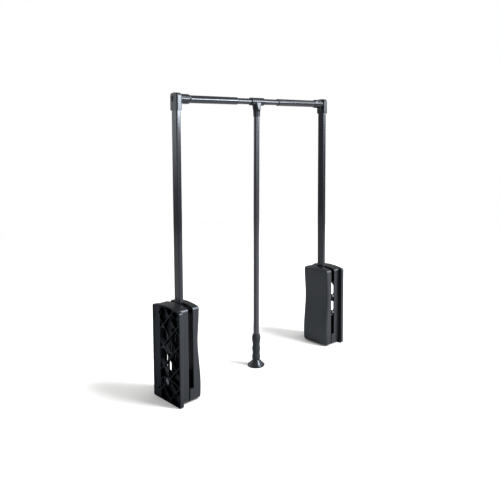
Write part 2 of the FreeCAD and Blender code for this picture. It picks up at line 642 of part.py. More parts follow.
def elbow_shell():
    """Outside of the elbow: block, collar along the rail, gusset and the tongue round its foot."""
    half = ELBOW_THICK / 2
    taper_u = COLLAR_U1 - COLLAR_TAPER
    collar = rod_x(ARM_U, taper_u, 0, RAIL_Z, COLLAR_D)
    taper = cone_x(taper_u, COLLAR_U1, 0, RAIL_Z, COLLAR_D, COLLAR_END_D)
    face_u = ARM_U + half
    low = RAIL_Z - COLLAR_D / 2 - GUSSET_R
    gusset = box(ARM_U, face_u + GUSSET_R, -ARM_DEPTH / 4, ARM_DEPTH / 4, low, RAIL_Z)
    gusset = gusset.cut(rod_y(-ARM_DEPTH, ARM_DEPTH, face_u + GUSSET_R, low, 2 * GUSSET_R))
    tongue_z = RAIL_Z - TONGUE_DROP
    tongue_end = rod_x(ARM_U, face_u + TONGUE_THICK, 0, tongue_z, TONGUE_WIDTH)
    tongue = box(ARM_U, face_u + TONGUE_THICK, -TONGUE_WIDTH / 2, TONGUE_WIDTH / 2, tongue_z, RAIL_Z)
    return join([elbow_block(), collar, taper, gusset, tongue, tongue_end])


def elbow():
    """Corner connector between the arm and the outer rail tube."""
    half = ELBOW_THICK / 2
    rail_socket = rod_x(RAIL_INSET, COLLAR_U1 + 1, 0, RAIL_Z, RAIL_D)
    arm_socket = flat_section(ARM_DEPTH, ARM_THICK, ARM_CORNER, ARM_U, RAIL_Z - SLEEVE_LENGTH - 1, ARM_TOP)
    cap_hole = rod_x(ARM_U - half - 1, ARM_U - half + CAP_RECESS + CAP_THICK, 0, RAIL_Z, CAP_D)
    screw_z = RAIL_Z - ELBOW_SCREW_DROP
    screw_hole = rod_y(0, ELBOW_DEPTH, ARM_U, screw_z, SCREW_D)
    seat = rod_y(ELBOW_DEPTH / 2 - ELBOW_SCREW_SINK, ELBOW_DEPTH, ARM_U, screw_z, ELBOW_SCREW_HEAD_D)
    return elbow_shell().cut(Part.makeCompound([rail_socket, arm_socket, cap_hole, screw_hole, seat]))


def elbow_cap():
    """Snap-in cap in the round recess on the wall side of the elbow."""
    face = ARM_U - ELBOW_THICK / 2 + CAP_RECESS
    cap = rod_x(face, face + CAP_THICK, 0, RAIL_Z, CAP_D)
    dish = rod_x(face - 1, face + CAP_DISH, 0, RAIL_Z, CAP_DISH_D)
    return cap.cut(dish)


def elbow_screw():
    """Screw at the back that holds the arm in the elbow."""
    seat = ELBOW_DEPTH / 2 - ELBOW_SCREW_SINK
    z = RAIL_Z - ELBOW_SCREW_DROP
    shank = rod_y(ARM_DEPTH / 2 - ARM_WALL - ELBOW_SCREW_BITE, seat, ARM_U, z, SCREW_D)
    head = rod_y(seat, seat + ELBOW_SCREW_HEAD_H, ARM_U, z, ELBOW_SCREW_HEAD_D)
    top = [e for e in head.Edges if e.BoundBox.YMin > seat + ELBOW_SCREW_HEAD_H - 1e-4]
    return join([shank, head.makeFillet(SCREW_HEAD_ROUND, top)])


def drilled_arm_tube():
    """Arm tube with the hole for the elbow's screw."""
    return arm_tube().cut(rod_y(0, ARM_DEPTH, ARM_U, RAIL_Z - ELBOW_SCREW_DROP, SCREW_D))


def rail_outer_tube():
    """Outer rail tube, from the elbow towards the middle."""
    length_end = HALF_WIDTH - RAIL_INNER_X
    outer = rod_x(RAIL_INSET, length_end, 0, RAIL_Z, RAIL_D)
    return outer.cut(rod_x(RAIL_INSET, length_end, 0, RAIL_Z, RAIL_D - 2 * RAIL_WALL))


def rail_bush():
    """Guide bush in the mouth of the outer tube, with a ring against the tube's end."""
    mouth = HALF_WIDTH - RAIL_INNER_X
    ring = rod_x(mouth, mouth + RING_LENGTH, 0, RAIL_Z, RAIL_D)
    ring = ring.makeFillet(RING_ROUND, edges_at_u(ring, mouth + RING_LENGTH))
    sleeve = rod_x(mouth - BUSH_LENGTH, mouth, 0, RAIL_Z, RAIL_D - 2 * RAIL_WALL)
    bore = rod_x(mouth - BUSH_LENGTH, mouth + RING_LENGTH, 0, RAIL_Z, CENTRE_D + 2 * RUN_CLEAR)
    return join([ring, sleeve]).cut(bore)


def rail_centre_tube():
    """Centre tube that telescopes in both outer tubes."""
    outer = rod_x(-CENTRE_HALF, CENTRE_HALF, 0, RAIL_Z, CENTRE_D)
    return outer.cut(rod_x(-CENTRE_HALF, CENTRE_HALF, 0, RAIL_Z, CENTRE_D - 2 * CENTRE_WALL))


def tee_connector():
    """Tee that turns on the centre tube and carries the handle."""
    sleeve = rod_x(-TEE_HALF, TEE_HALF, 0, RAIL_Z, TEE_D)
    sleeve = sleeve.makeFillet(TEE_ROUND, edges_at_u(sleeve, -TEE_HALF) + edges_at_u(sleeve, TEE_HALF))
    shoulder = RAIL_Z - TEE_D / 2 - STEM_FLARE
    stem_end = RAIL_Z - STEM_DROP
    stem = Part.makeCone(STEM_END_D / 2, STEM_TOP_D / 2, RAIL_Z - stem_end, Vector(0, 0, stem_end))
    flare = Part.makeCone(STEM_TOP_D / 2 - FLARE_SINK, STEM_FLARE_D / 2, TEE_D / 2 + STEM_FLARE,
                          Vector(0, 0, shoulder))
    flare = flare.common(rod_x(-TEE_HALF, TEE_HALF, 0, RAIL_Z + TEE_D / 2, 2 * TEE_D + 2 * STEM_FLARE))
    half = TEE_D / 2 - FLARE_FLAT
    flare = flare.common(box(-TEE_HALF, TEE_HALF, -half, half, shoulder, RAIL_Z))
    body = join([sleeve, stem, flare])
    bore = rod_x(-TEE_HALF - 1, TEE_HALF + 1, 0, RAIL_Z, CENTRE_D + 2 * RUN_CLEAR)
    socket = rod_z(stem_end - 1, RAIL_Z - HANDLE_SEAT, 0, 0, HANDLE_D)
    return body.cut(Part.makeCompound([bore, socket]))


def handle_tube():
    """Tube of the pull handle."""
    outer = rod_z(GRIP_TUBE_END, RAIL_Z - HANDLE_SEAT, 0, 0, HANDLE_D)
    return outer.cut(rod_z(GRIP_TUBE_END, RAIL_Z - HANDLE_SEAT, 0, 0, HANDLE_D - 2 * HANDLE_WALL))


def grip_outline():
    """Right half of the grip's section: skirt, finger bulges and rounded top."""
    rim_r = SKIRT_D / 2
    neck_r = GRIP_NECK_D / 2
    bulge_r = GRIP_BULGE_D / 2
    skirt = Part.BSplineCurve()
    skirt_low = Vector(rim_r, 0, GRIP_BOTTOM + SKIRT_RIM)
    skirt_mid = Vector(SKIRT_WAIST_D / 2, 0, GRIP_BOTTOM + SKIRT_RIM + SKIRT_WAIST_RISE)
    points = []
    for low, high in zip(GRIP_NECKS_Z, GRIP_BULGES_Z):
        points += [Vector(neck_r, 0, low), Vector(bulge_r, 0, high)]
    skirt.interpolate([skirt_low, skirt_mid, points[0]])
    shoulder_r = GRIP_TOP_D / 2 - GRIP_TOP_ROUND
    shoulder = Vector(GRIP_TOP_D / 2, 0, GRIP_TOP - GRIP_TOP_ROUND)
    crown = Vector(shoulder_r, 0, GRIP_TOP)
    waves = Part.BSplineCurve()
    waves.interpolate(points + [shoulder])
    slant = GRIP_TOP_ROUND * math.sqrt(0.5)
    corner = Part.Arc(shoulder, Vector(shoulder_r + slant, 0, shoulder.z + slant), crown)
    corners = [crown, Vector(0, 0, GRIP_TOP), Vector(0, 0, GRIP_BOTTOM + SKIRT_DISH),
               Vector(SKIRT_SOLE_D / 2, 0, GRIP_BOTTOM), Vector(rim_r - SKIRT_EDGE, 0, GRIP_BOTTOM),
               Vector(rim_r, 0, GRIP_BOTTOM + SKIRT_EDGE), skirt_low]
    lines = [Part.makeLine(corners[i], corners[i + 1]) for i in range(len(corners) - 1)]
    return Part.Wire([skirt.toShape(), waves.toShape(), corner.toShape()] + lines)


def handle_grip():
    """Rubber grip with three finger bulges and a flared end."""
    body = Part.Face(grip_outline()).revolve(Vector(0, 0, 0), Vector(0, 0, 1), 360)
    return body.cut(rod_z(GRIP_TUBE_END, GRIP_TOP + 1, 0, 0, HANDLE_D))


# ---------------------------------------------------------------- assembly
def on_left(shape):
    """Shape from housing depth u to its place on the left."""
    placed = shape.copy()
    placed.translate(Vector(-HALF_WIDTH, 0, 0))
    return placed


def turned_right(shape):
    """The same moulding on the right, half a turn about Z."""
    placed = on_left(shape)
    placed.rotate(Vector(0, 0, 0), Vector(0, 0, 1), 180)
    return placed


def mirrored_right(shape):
    """Mirror image on the right."""
    return on_left(shape).mirror(Vector(0, 0, 0), Vector(1, 0, 0))


def hung(shape):
    """Piece of the hanging handle at its place along the rail, swung back about the rail's axis."""
    placed = shape.copy()
    placed.rotate(Vector(0, 0, RAIL_Z), Vector(1, 0, 0), HANDLE_LEAN)
    placed.translate(Vector(TEE_X, 0, 0))
    return placed


def housing_nodes():
    """Mouldings that are turned for the right side."""
    return {"base_shell": base_shell(), "cover": cover(), "pivot_pin": pivot_pin()}


def mechanism_nodes():
    """Pieces that are mirrored for the right side."""
    return {
        "cover_screws": cover_screws(),
        "cover_spacer": cover_spacer(),
        "strut_cylinder": strut_cylinder(),
        "strut_anchor_pin": strut_anchor_pin(),
        "stop_buffer": stop_buffer(),
        "strut_rod": strut_rod(),
        "rod_yoke": rod_yoke(),
        "arm_foot": arm_foot(),
        "pivot_bush": pivot_bush(),
        "crank_pin": crank_pin(),
        "arm_tube": drilled_arm_tube(),
        "elbow": elbow(),
        "elbow_cap": elbow_cap(),
        "elbow_screw": elbow_screw(),
        "rail_outer_tube": rail_outer_tube(),
        "rail_bush": rail_bush(),
    }


def shared_nodes():
    """Pieces in the middle."""
    return {
        "rail_centre_tube": rail_centre_tube(),
        "tee_connector": hung(tee_connector()),
        "handle_tube": hung(handle_tube()),
        "handle_grip": hung(handle_grip()),
    }


def all_nodes():
    """Every node by name, in its place."""
    nodes = shared_nodes()
    for name, shape in housing_nodes().items():
        nodes["left_" + name] = on_left(shape)
        nodes["right_" + name] = turned_right(shape)
    for name, shape in mechanism_nodes().items():
        nodes["left_" + name] = on_left(shape)
        nodes["right_" + name] = mirrored_right(shape)
    return nodes


os.makedirs("parts", exist_ok=True)
for node_name, node_shape in all_nodes().items():
    node_shape.exportStep(os.path.join("parts", node_name + ".step"))
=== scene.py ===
"""Looks of a pull-down closet rod: its finishes, its screws and the small studio that it stands in.

Metres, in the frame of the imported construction: +Z up, X along the rail, the user on the -Y side.
"""
import logging
import math
from dataclasses import dataclass
from enum import Enum
from typing import Any

import bmesh
import bpy
from mathutils import Matrix, Vector


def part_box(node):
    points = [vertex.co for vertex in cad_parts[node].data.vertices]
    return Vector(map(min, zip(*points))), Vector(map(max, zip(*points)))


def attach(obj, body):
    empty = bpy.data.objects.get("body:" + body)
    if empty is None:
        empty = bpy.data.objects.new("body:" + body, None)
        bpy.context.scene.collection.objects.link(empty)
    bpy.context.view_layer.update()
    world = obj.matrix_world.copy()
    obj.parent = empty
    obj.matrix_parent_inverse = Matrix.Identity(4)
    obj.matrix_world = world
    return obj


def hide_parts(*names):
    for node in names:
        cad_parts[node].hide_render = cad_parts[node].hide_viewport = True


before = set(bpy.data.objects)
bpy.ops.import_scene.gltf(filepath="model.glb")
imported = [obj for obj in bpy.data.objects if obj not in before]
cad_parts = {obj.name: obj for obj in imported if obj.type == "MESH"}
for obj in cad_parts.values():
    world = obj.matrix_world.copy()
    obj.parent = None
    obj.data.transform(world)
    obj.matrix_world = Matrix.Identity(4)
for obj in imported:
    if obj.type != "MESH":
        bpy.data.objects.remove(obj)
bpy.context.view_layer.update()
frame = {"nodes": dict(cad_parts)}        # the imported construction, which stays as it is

LOG = logging.getLogger("closet_rod")
MM = 0.001
QUARTER_TURN = math.pi / 2
ALL_ROUND = 180.0        # degrees to each side of an azimuth
OVERHEAD = 90.0          # degrees above the horizon

Rgb = tuple[float, float, float]
Span = tuple[float, float]

WHITE: Rgb = (1.0, 1.0, 1.0)


class Side(Enum):
    """The two ends of the rail, by the sign of X."""

    LEFT = -1
    RIGHT = 1

    def node(self, part: str) -> str:
        """Name of this side's node of a part."""
        return f"{self.name.lower()}_{part}"


class Axis(Enum):
    """Direction of the frame, as its place in a coordinate."""

    X = 0
    Y = 1
    Z = 2


# ---------------------------------------------------------------- shader building
class Field:
    """A socket of a shader. Where it carries one number per point, operators add Math nodes."""

    def __init__(self, shader: "Shader", socket: bpy.types.NodeSocket) -> None:
        """Keep the socket and the shader that it belongs to."""
        self.shader = shader
        self.socket = socket

    def _maths(self, operation: str, first: "Number", second: "Number") -> "Field":
        """Field of one Math node on two numbers."""
        return self.shader.node("ShaderNodeMath", {"operation": operation}, {0: first, 1: second})

    def __add__(self, other: "Number") -> "Field":
        """Sum."""
        return self._maths("ADD", self, other)

    __radd__ = __add__

    def __sub__(self, other: "Number") -> "Field":
        """Difference."""
        return self._maths("SUBTRACT", self, other)

    def __rsub__(self, other: "Number") -> "Field":
        """Difference, with the field on the right."""
        return self._maths("SUBTRACT", other, self)

    def __mul__(self, other: "Number") -> "Field":
        """Product."""
        return self._maths("MULTIPLY", self, other)

    __rmul__ = __mul__

    def __truediv__(self, other: "Number") -> "Field":
        """Quotient."""
        return self._maths("DIVIDE", self, other)

    def __rtruediv__(self, other: "Number") -> "Field":
        """Quotient, with the field on the right."""
        return self._maths("DIVIDE", other, self)

    def __pow__(self, other: "Number") -> "Field":
        """Power."""
        return self._maths("POWER", self, other)

    def __rpow__(self, other: "Number") -> "Field":
        """Power, with the field as the exponent."""
        return self._maths("POWER", other, self)

    def __abs__(self) -> "Field":
        """Value without its sign."""
        return self.shader.node("ShaderNodeMath", {"operation": "ABSOLUTE"}, {0: self})

    def swing(self, amount: float) -> "Field":
        """Change of up to half an amount either way, from a field that runs from 0 to 1."""
        return (self - 0.5) * amount


Number = float | Field


def tinted(colour: Rgb, factor: float) -> Rgb:
    """Colour made lighter or darker by a factor."""
    return tuple(channel * factor for channel in colour)


def opaque(colour: Rgb) -> tuple[float, float, float, float]:
    """Colour with the full alpha that colour sockets take as a fourth number."""
    return (*colour, 1.0)


class Shader:
    """The node tree of one material or of the world."""

    # Sockets of a Mix node in its colour form, whose names its other forms have too.
    MIX_FIRST = 6
    MIX_SECOND = 7
    MIX_RESULT = 2

    def __init__(self, tree: bpy.types.NodeTree) -> None:
        """Start from an empty tree."""
        self.tree = tree
        tree.nodes.clear()

    def node(self, kind: str, settings: dict[str, Any] | None = None,
             inputs: dict[int | str, Any] | None = None, output: int | str = 0) -> Field:
        """Add one node.

        Args:
            kind: Blender's type of the node.
            settings: what is set first, such as a Math node's operation.
            inputs: values or fields by socket.
            output: the socket that the field carries.

        Returns:
            Field of the chosen output, or of the first input where a node has no outputs.
        """
        made = self.tree.nodes.new(kind)
        for name, value in (settings or {}).items():
            setattr(made, name, value)
        for name, value in (inputs or {}).items():
            if isinstance(value, Field):
                self.tree.links.new(value.socket, made.inputs[name])
            else:
                made.inputs[name].default_value = value
        return Field(self, made.outputs[output] if len(made.outputs) else made.inputs[0])

    def place(self) -> Field:
        """Point of the surface in the piece's own frame, in metres."""
        return self.node("ShaderNodeTexCoord", output="Object")

    def part(self, vector: Field, axis: Axis) -> Field:
        """One coordinate of a vector."""
        return self.node("ShaderNodeSeparateXYZ", {}, {0: vector}, axis.value)

    def stretched(self, place: Field, axis: Axis, ratio: float) -> Field:
        """Draw coordinates out along an axis, so that a texture runs along it.

        Args:
            place: the coordinates.
            axis: the axis that the texture runs along.
            ratio: how many times longer the texture gets.

        Returns:
            Field of the drawn-out coordinates.
        """
        scale = [1.0, 1.0, 1.0]
        scale[axis.value] = 1 / ratio
        return self.node("ShaderNodeVectorMath", {"operation": "MULTIPLY"}, {0: place, 1: scale})

    def noise(self, place: Field, size: float, detail: float = 2.0, rough: float = 0.5) -> Field:
        """Soft noise from 0 to 1 whose blobs are about size across, in metres."""
        inputs = {"Vector": place, "Scale": 1 / size, "Detail": detail, "Roughness": rough}
        return self.node("ShaderNodeTexNoise", {}, inputs)

    def cells(self, place: Field, size: float, softness: float = 0.6) -> Field:
        """Distance from the nearest of many scattered points, for a moulded grain."""
        inputs = {"Vector": place, "Scale": 1 / size, "Smoothness": softness}
        return self.node("ShaderNodeTexVoronoi", {"feature": "SMOOTH_F1"}, inputs)

    def step(self, value: Field, low: float, high: float) -> Field:
        """Smooth step of a field from 0 at low to 1 at high."""
        inputs = {"Value": value, "From Min": low, "From Max": high, "To Min": 0.0, "To Max": 1.0}
        return self.node("ShaderNodeMapRange", {"interpolation_type": "SMOOTHSTEP"}, inputs)

    def blend(self, share: Number, first: Rgb, second: Rgb) -> Field:
        """Colour between two, by a share from 0 to 1."""
        inputs = {"Factor": share, self.MIX_FIRST: opaque(first), self.MIX_SECOND: opaque(second)}
        return self.node("ShaderNodeMix", {"data_type": "RGBA"}, inputs, self.MIX_RESULT)

    def bump(self, height: Field, depth: float, under: Field | None = None) -> Field:
        """Bend the normal by a height field.

        Args:
            height: the height field, from 0 to 1.
            depth: how high 1 stands, in metres.
            under: a normal that is bent already.

        Returns:
            Field of the bent normal.
        """
        inputs: dict[int | str, Any] = {"Height": height, "Distance": depth, "Strength": 1.0}
        if under is not None:
            inputs["Normal"] = under
        return self.node("ShaderNodeBump", {}, inputs)


# ---------------------------------------------------------------- finishes
@dataclass(frozen=True)
class Finish:
    """What every finish has. Each kind says in surface() what varies over it."""

    colour: Rgb
    roughness: float
    specular: float = 0.5
    gloss_tint: Rgb = (0.80, 0.885, 1.0)

    def surface(self, shader: Shader) -> dict[str, Any]:
        """Inputs of the Principled shader."""
        raise NotImplementedError

    def shaded(self, shader: Shader, share: Number, shades: Span) -> Field:
        """Colour between two shades of the finish's own, given as factors, by a share from 0 to 1."""
        dark, light = shades
        return shader.blend(share, tinted(self.colour, dark), tinted(self.colour, light))

    def material(self, name: str) -> bpy.types.Material:
        """Build the finish as a material.

        Args:
            name: the material's name.

        Returns:
            The new material.
        """
        made = bpy.data.materials.new(name)
        made.use_nodes = True
        made.diffuse_color = opaque(self.colour)
        shader = Shader(made.node_tree)
        inputs = {"Specular IOR Level": self.specular, "Specular Tint": opaque(self.gloss_tint),
                  **self.surface(shader)}
        skin = shader.node("ShaderNodeBsdfPrincipled", {}, inputs)
        shader.node("ShaderNodeOutputMaterial", {}, {"Surface": skin})
        return made


@dataclass(frozen=True)
class MouldedPlastic(Finish):
    """Injection moulding: eroded grain, faint flow marks and a rubbed sheen."""

    grain: float = 0.9 * MM
    grain_depth: float = 0.02 * MM
    grain_share: float = 0.7
    fine_size: float = 0.35 * MM
    fine_gloss: float = 0.1
    flow: float = 0.12
    flow_size: float = 45 * MM
    flow_ratio: float = 2.5
    flow_gloss: float = 0.08
    rubbed_from: Span = (0.35, 0.7)

    def surface(self, shader: Shader) -> dict[str, Any]:
        """Colour and gloss drift over the moulding, over a fine grain.

        Args:
            shader: the material's shader.

        Returns:
            Inputs of the Principled shader.
        """
        place = shader.place()
        drift = shader.noise(shader.stretched(place, Axis.Z, self.flow_ratio), self.flow_size, detail=3.0)
        fine = shader.noise(place, self.fine_size)
        grain = shader.cells(place, self.grain)
        rubbed = shader.step(drift, *self.rubbed_from)
        colour = self.shaded(shader, rubbed, (1 - self.flow, 1 + self.flow))
        gloss = self.roughness + drift.swing(self.flow_gloss) + fine.swing(self.fine_gloss)
        relief = grain * self.grain_share + fine * (1 - self.grain_share)
        return {"Base Color": colour, "Roughness": gloss, "Normal": shader.bump(relief, self.grain_depth)}


@dataclass(frozen=True, kw_only=True)
class ShadePaintedMoulding(MouldedPlastic):
    """Black moulding with painted shade: it shines on its outer walls, and its lattice and all inside it are
    darkened to stand in for the shade there.

    The outer walls lie beyond wall_y and top_z, softly by edge. A face counts as the lattice's as the
    outward share of its normal passes looks_away, and middle_x is the middle of the moulding. The
    painted shade is made by turning these parts mostly metallic, since metal of so dark a colour mirrors
    almost nothing.
    """

    middle_x: float
    wall_y: float
    top_z: float
    edge: float = 1 * MM
    looks_away: Span = (0.5, 0.85)
    painted_shade_metal: float = 0.85

    def _within(self, shader: Shader, value: Field, wall: float) -> Field:
        """Softly 1 on this side of a wall and 0 beyond it."""
        return 1 - shader.step(value, wall - self.edge, wall + self.edge)

    def surface(self, shader: Shader) -> dict[str, Any]:
        """Faces that look away from the rail and all that lies inside the outer walls are dull, as painted
        shade.

        Args:
            shader: the material's shader.

        Returns:
            Inputs of the Principled shader.
        """
        place = shader.place()
        normal = shader.node("ShaderNodeTexCoord", output="Normal")
        outwards = shader.part(normal, Axis.X) * shader.part(place, Axis.X) / self.middle_x
        in_y = self._within(shader, abs(shader.part(place, Axis.Y)), self.wall_y)
        in_z = self._within(shader, shader.part(place, Axis.Z), self.top_z)
        # painted shade: lattice faces and the insides of the outer walls are made dull to stand in for their
        # shade
        dull = 1 - (1 - in_y * in_z) * (1 - shader.step(outwards, *self.looks_away))
        return {**super().surface(shader), "Metallic": self.painted_shade_metal * dull}


@dataclass(frozen=True)
class GlossyTube(Finish):
    """Lacquered tube: draw lines along it under a slightly waved coat."""

    run: Axis = Axis.Z
    draw_ratio: float = 120.0
    draw_size: float = 0.7 * MM
    draw_depth: float = 0.0003 * MM
    draw_gloss: float = 0.08
    peel_ratio: float = 4.0
    peel_size: float = 2.5 * MM
    peel_depth: float = 0.0008 * MM
    film_size: float = 60 * MM
    film_shades: Span = (0.85, 1.15)
    film_gloss: float = 0.04

    def surface(self, shader: Shader) -> dict[str, Any]:
        """Draw lines show in the gloss, and the coat's peel in the normal.

        Args:
            shader: the material's shader.

        Returns:
            Inputs of the Principled shader.
        """
        place = shader.place()
        lines = shader.noise(shader.stretched(place, self.run, self.draw_ratio), self.draw_size, detail=3.0)
        peel = shader.noise(shader.stretched(place, self.run, self.peel_ratio), self.peel_size, detail=1.0)
        film = shader.noise(place, self.film_size)
        colour = self.shaded(shader, film, self.film_shades)
        gloss = self.roughness + lines.swing(self.draw_gloss) + film.swing(self.film_gloss)
        relief = shader.bump(peel, self.peel_depth, shader.bump(lines, self.draw_depth))
        return {"Base Color": colour, "Roughness": gloss, "Normal": relief}


@dataclass(frozen=True)
class SoftRubber(Finish):
    """Moulded rubber: dull and faintly dusty, and smooth and bare below a height."""

    smooth_below: float = 0.0
    smooth_edge: float = 4 * MM
    smooth_roughness: float = 0.3
    dust_size: float = 9 * MM
    dust_from: Span = (0.4, 0.75)
    dust_shade: float = 1.5
    dust_gloss: float = 0.06
    pore_size: float = 0.5 * MM
    pore_depth: float = 0.03 * MM

    def surface(self, shader: Shader) -> dict[str, Any]:
        """Dust settles in blotches, and the foot keeps its mould gloss.

        Args:
            shader: the material's shader.

        Returns:
            Inputs of the Principled shader.
        """
        place = shader.place()
        dust = shader.step(shader.noise(place, self.dust_size, detail=4.0, rough=0.6), *self.dust_from)
        pores = shader.noise(place, self.pore_size)
        height = shader.part(place, Axis.Z)
        held = shader.step(height, self.smooth_below, self.smooth_below + self.smooth_edge)
        colour = self.shaded(shader, dust * held, (1.0, self.dust_shade))
        worn = held * (self.roughness - self.smooth_roughness)
        gloss = self.smooth_roughness + worn + dust.swing(self.dust_gloss)
        return {"Base Color": colour, "Roughness": gloss, "Normal": shader.bump(pores, self.pore_depth)}


@dataclass(frozen=True)
class PlatedSteel(Finish):
    """Bare or plated steel: metallic, with fine scratches round or along it."""

    run: Axis = Axis.X
    scratch_ratio: float = 30.0
    scratch_size: float = 0.4 * MM
    scratch_depth: float = 0.008 * MM
    scratch_gloss: float = 0.15
    cloud_size: float = 6 * MM
    cloud_shades: Span = (0.8, 1.15)
    cloud_gloss: float = 0.12
    metal: float = 1.0

    def surface(self, shader: Shader) -> dict[str, Any]:
        """Scratches and a cloudy film over the metal.

        Args:
            shader: the material's shader.

        Returns:
            Inputs of the Principled shader.
        """
        place = shader.place()
        drawn = shader.stretched(place, self.run, self.scratch_ratio)
        scratches = shader.noise(drawn, self.scratch_size, detail=3.0)
        cloud = shader.noise(place, self.cloud_size, detail=3.0)
        colour = self.shaded(shader, cloud, self.cloud_shades)
        gloss = self.roughness + scratches.swing(self.scratch_gloss) + cloud.swing(self.cloud_gloss)
        return {"Base Color": colour, "Metallic": self.metal, "Roughness": gloss,
                "Normal": shader.bump(scratches, self.scratch_depth)}


@dataclass(frozen=True)
class RoughCasting(Finish):
    """Die casting, tumbled and passivated: lightly pitted metal."""

    cloud_size: float = 8 * MM
    cloud_shades: Span = (0.75, 1.25)
    cloud_gloss: float = 0.2
    pit_size: float = 1.2 * MM
    pit_depth: float = 0.03 * MM
    metal: float = 0.8

    def surface(self, shader: Shader) -> dict[str, Any]:
        """Pits and cloudy patches.

        Args:
            shader: the material's shader.

        Returns:
            Inputs of the Principled shader.
        """
        place = shader.place()
        cloud = shader.noise(place, self.cloud_size, detail=4.0)
        pits = shader.cells(place, self.pit_size)
        colour = self.shaded(shader, cloud, self.cloud_shades)
        gloss = self.roughness + cloud.swing(self.cloud_gloss)
        return {"Base Color": colour, "Metallic": self.metal, "Roughness": gloss,
                "Normal": shader.bump(pits, self.pit_depth)}


HOUSING_COLOUR = (0.0075, 0.0082, 0.0094)
BASE_COLOUR = (0.0055, 0.006, 0.007)
FITTING_COLOUR = (0.009, 0.0098, 0.011)
NYLON_COLOUR = (0.018, 0.018, 0.020)
TUBE_COLOUR = (0.009, 0.0088, 0.011)
HANDLE_COLOUR = (0.028, 0.0275, 0.032)
STRUT_COLOUR = (0.012, 0.012, 0.014)
GRIP_COLOUR = (0.011, 0.0115, 0.0125)
BUFFER_COLOUR = (0.02, 0.02, 0.02)
ZINC_COLOUR = (0.16, 0.165, 0.18)
CASTING_COLOUR = (0.17, 0.17, 0.18)
POLISHED_COLOUR = (0.62, 0.62, 0.64)
NITRIDED_COLOUR = (0.05, 0.05, 0.055)
SCREW_COLOUR = (0.06, 0.06, 0.065)

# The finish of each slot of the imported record.
FINISHES: dict[str, Finish] = {
    "housing_plastic": MouldedPlastic(HOUSING_COLOUR, roughness=0.36, specular=0.46),
    "fitting_plastic": MouldedPlastic(FITTING_COLOUR, roughness=0.22, specular=0.38,
                                      grain=0.5 * MM, grain_depth=0.008 * MM),
    "anthracite_tube": GlossyTube(TUBE_COLOUR, roughness=0.15),
    "grip_rubber": SoftRubber(GRIP_COLOUR, roughness=0.62, specular=0.33,
                              smooth_below=20 * MM, smooth_roughness=0.28),
    "black_nylon": MouldedPlastic(NYLON_COLOUR, roughness=0.4, specular=0.4,
                                  grain=0.6 * MM, grain_depth=0.01 * MM),
    "zinc_plated_steel": PlatedSteel(ZINC_COLOUR, roughness=0.4),
    "polished_steel": PlatedSteel(POLISHED_COLOUR, roughness=0.14, run=Axis.Z),
    "nitrided_steel": PlatedSteel(NITRIDED_COLOUR, roughness=0.3, run=Axis.Z),
    "strut_paint": GlossyTube(STRUT_COLOUR, roughness=0.22),
    "die_cast_zinc": RoughCasting(CASTING_COLOUR, roughness=0.48),
    "buffer_rubber": SoftRubber(BUFFER_COLOUR, roughness=0.7, specular=0.3),
    "black_screw": PlatedSteel(SCREW_COLOUR, roughness=0.38),
}

# The finishes of nodes that differ from the rest of their slot.
RAIL_FINISH = GlossyTube(TUBE_COLOUR, roughness=0.15, run=Axis.X)
HANDLE_FINISH = GlossyTube(HANDLE_COLOUR, roughness=0.15, specular=0.55)


@dataclass
class PaintShop:
    """Gives every node of the construction its finish, and lends them to new pieces."""

    rail_tubes: tuple[str, ...] = ("rail_centre_tube", "left_rail_outer_tube", "right_rail_outer_tube")
    handle_tube: str = "handle_tube"
    wall_skin: float = 2 * MM
    top_skin: float = 14.5 * MM

    def __post_init__(self) -> None:
        """Build each finish once, and note which nodes have their own."""
        self.materials = {slot: finish.material(slot + "_finish") for slot, finish in FINISHES.items()}
        rail = RAIL_FINISH.material("anthracite_rail_finish")
        handle = HANDLE_FINISH.material("anthracite_handle_finish")
        # the base shells get their own finish, which paints shade on their lattice and inside
        base = self.base_finish().material("shade_painted_base_finish")
        self.own_materials = {self.handle_tube: handle, **dict.fromkeys(self.rail_tubes, rail),
                              **{side.node("base_shell"): base for side in Side}}

    def base_finish(self) -> ShadePaintedMoulding:
        """Fit the finish of the base shells, which mirror each other, to the construction; it paints shade
        on their lattice and inside.

        The walls are taken from the cover, which lines up with them, because the shell's own box ends
        at its wider flange. The top is arched, so its skin reaches down past the arch's ends.

        Returns:
            The finish of both shells.
        """
        low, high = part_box(Side.RIGHT.node("base_shell"))
        _, cover_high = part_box(Side.RIGHT.node("cover"))
        return ShadePaintedMoulding(BASE_COLOUR, roughness=0.34, specular=0.48, middle_x=(low.x + high.x) / 2,
                             wall_y=cover_high.y - self.wall_skin, top_z=high.z - self.top_skin)

    def dress_nodes(self, nodes: dict[str, bpy.types.Object]) -> None:
        """Put on each node its own finish or that of its slot.

        Args:
            nodes: the construction's objects by name.
        """
        for name, node in sorted(nodes.items()):
            slot = node.data.materials[0].name
            made = self.own_materials.get(name, self.materials[slot])
            node.data.materials[0] = made
            LOG.info("node %s: %s", name, made.name)

    def finish_piece(self, piece: bpy.types.Object, slot: str) -> None:
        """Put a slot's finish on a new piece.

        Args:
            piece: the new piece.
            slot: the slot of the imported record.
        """
        piece.data.materials.clear()
        piece.data.materials.append(self.materials[slot])


# ---------------------------------------------------------------- mesh building
def ring(mesh: bmesh.types.BMesh, radius: float, height: float, sides: int) -> list[bmesh.types.BMVert]:
    """Add points round Z to a mesh.

    Args:
        mesh: the mesh under construction.
        radius: the ring's radius.
        height: its place along Z.
        sides: how many points it has.

    Returns:
        The new points, in order.
    """
    turns = (2 * math.pi * k / sides for k in range(sides))
    return [mesh.verts.new((radius * math.cos(turn), radius * math.sin(turn), height)) for turn in turns]


